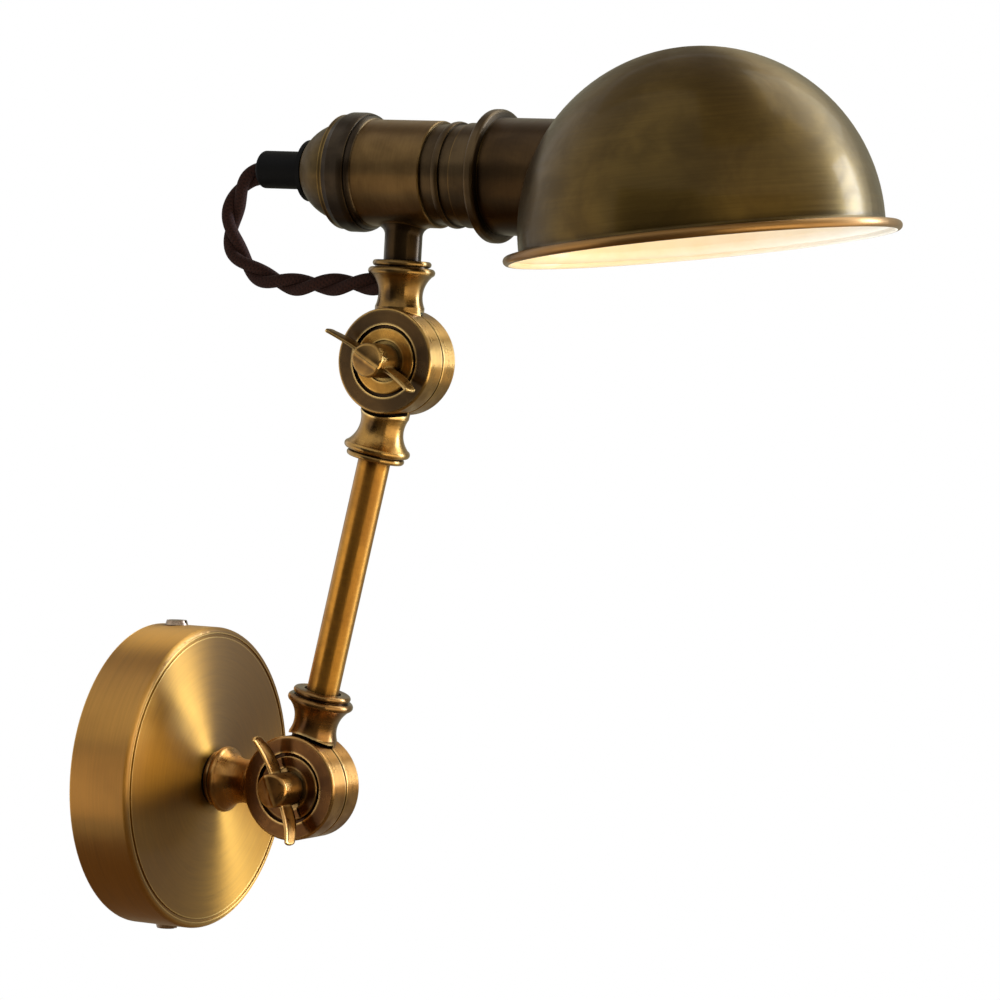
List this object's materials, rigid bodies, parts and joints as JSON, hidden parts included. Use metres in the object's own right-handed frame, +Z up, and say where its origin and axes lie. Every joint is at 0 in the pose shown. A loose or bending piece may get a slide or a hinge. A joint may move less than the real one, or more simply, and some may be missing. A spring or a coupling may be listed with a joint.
{
  "type": "adjustable wall light",
  "caption": "Adjustable wall light: round canopy, wing-screw knuckles joined by a tube arm, a lampholder with a twisted flex loop, and a domed metal shade.",
  "frame": {"origin": "centre of the canopy's back, on the wall", "axes": "+X out of the wall, +Z up, Y along the axes of both knuckles with the wing screws on the -Y side"},
  "size_m": [0.3054, 0.148, 0.3492],
  "materials": {
    "aged_brass": "brushed and darkened, lacquered",
    "zinc_steel": "zinc plated",
    "bright_brass": "plain turned",
    "black_plastic": "moulded",
    "dark_fibre": "pressed fibre",
    "white_plastic": "moulded",
    "porcelain": "glazed porcelain",
    "brown_fabric": "braided",
    "lamp_metal": "rolled thread",
    "opal_glass": "opal"
  },
  "bodies": {
    "wall_plate": {"canopy": "aged_brass", "mounting_bracket": "zinc_steel", "canopy_screws": "zinc_steel", "earth_screw": "bright_brass", "terminal_block": "white_plastic", "terminal_screws": "zinc_steel", "wall_leads": "brown_fabric", "threaded_nipple": "zinc_steel", "nipple_locknut": "zinc_steel", "nipple_washer": "zinc_steel", "neck_washer": "black_plastic", "wall_knuckle": "aged_brass", "lower_dished_washer": "aged_brass"},
    "arm": {"arm_lower_knuckle": "aged_brass", "arm_tube": "aged_brass", "arm_upper_knuckle": "aged_brass", "lower_captive_nut": "zinc_steel", "upper_captive_nut": "zinc_steel", "lower_friction_washer": "dark_fibre", "upper_friction_washer": "dark_fibre", "arm_leads": "brown_fabric"},
    "lower_wing": {"lower_wing_screw": "aged_brass"},
    "upper_wing": {"upper_wing_screw": "aged_brass"},
    "head": {"head_knuckle": "aged_brass", "upper_dished_washer": "aged_brass", "holder_body": "aged_brass", "holder_skirt": "aged_brass", "tail_ring": "aged_brass", "tail_cap": "aged_brass", "grip_disc": "black_plastic", "cord_grip": "black_plastic", "flex_cord": "brown_fabric", "holder_leads": "brown_fabric", "lampholder_insert": "porcelain", "screw_shell": "bright_brass", "centre_contact": "bright_brass"},
    "ring": {"shade_ring": "aged_brass"},
    "clamp": {"clamp_ring": "aged_brass"},
    "shade": {"shade_dome": "aged_brass", "shade_neck": "aged_brass"},
    "lamp": {"lamp_cap": "lamp_metal", "lamp_globe": "opal_glass"}
  },
  "joints": [
    {"name": "arm_hinge", "type": "hinge", "parent": "wall_plate", "child": "arm", "pos_m": [0.0685, 0, 0], "axis": [0, 1, 0], "range_deg": [-5, 100]},
    {"name": "head_hinge", "type": "hinge", "parent": "arm", "child": "head", "pos_m": [0.10476, 0, 0.16773], "axis": [0, 1, 0], "range_deg": [-35, 75]},
    {"name": "lower_wing_turn", "type": "hinge", "parent": "arm", "child": "lower_wing", "pos_m": [0.0685, 0, 0], "axis": [0, -1, 0], "continuous": true},
    {"name": "upper_wing_turn", "type": "hinge", "parent": "arm", "child": "upper_wing", "pos_m": [0.10476, 0, 0.16773], "axis": [0, -1, 0], "continuous": true},
    {"name": "shade_ring_turn", "type": "hinge", "parent": "head", "child": "ring", "pos_m": [0.10654, 0, 0.2403], "axis": [0.9997, 0, -0.0244], "continuous": true},
    {"name": "clamp_ring_turn", "type": "hinge", "parent": "head", "child": "clamp", "pos_m": [0.10654, 0, 0.2403], "axis": [0.9997, 0, -0.0244], "continuous": true},
    {"name": "shade_turn", "type": "hinge", "parent": "head", "child": "shade", "pos_m": [0.10654, 0, 0.2403], "axis": [0.9997, 0, -0.0244], "continuous": true},
    {"name": "lamp_turn", "type": "hinge", "parent": "head", "child": "lamp", "pos_m": [0.10654, 0, 0.2403], "axis": [0.9997, 0, -0.0244], "continuous": true}
  ]
}
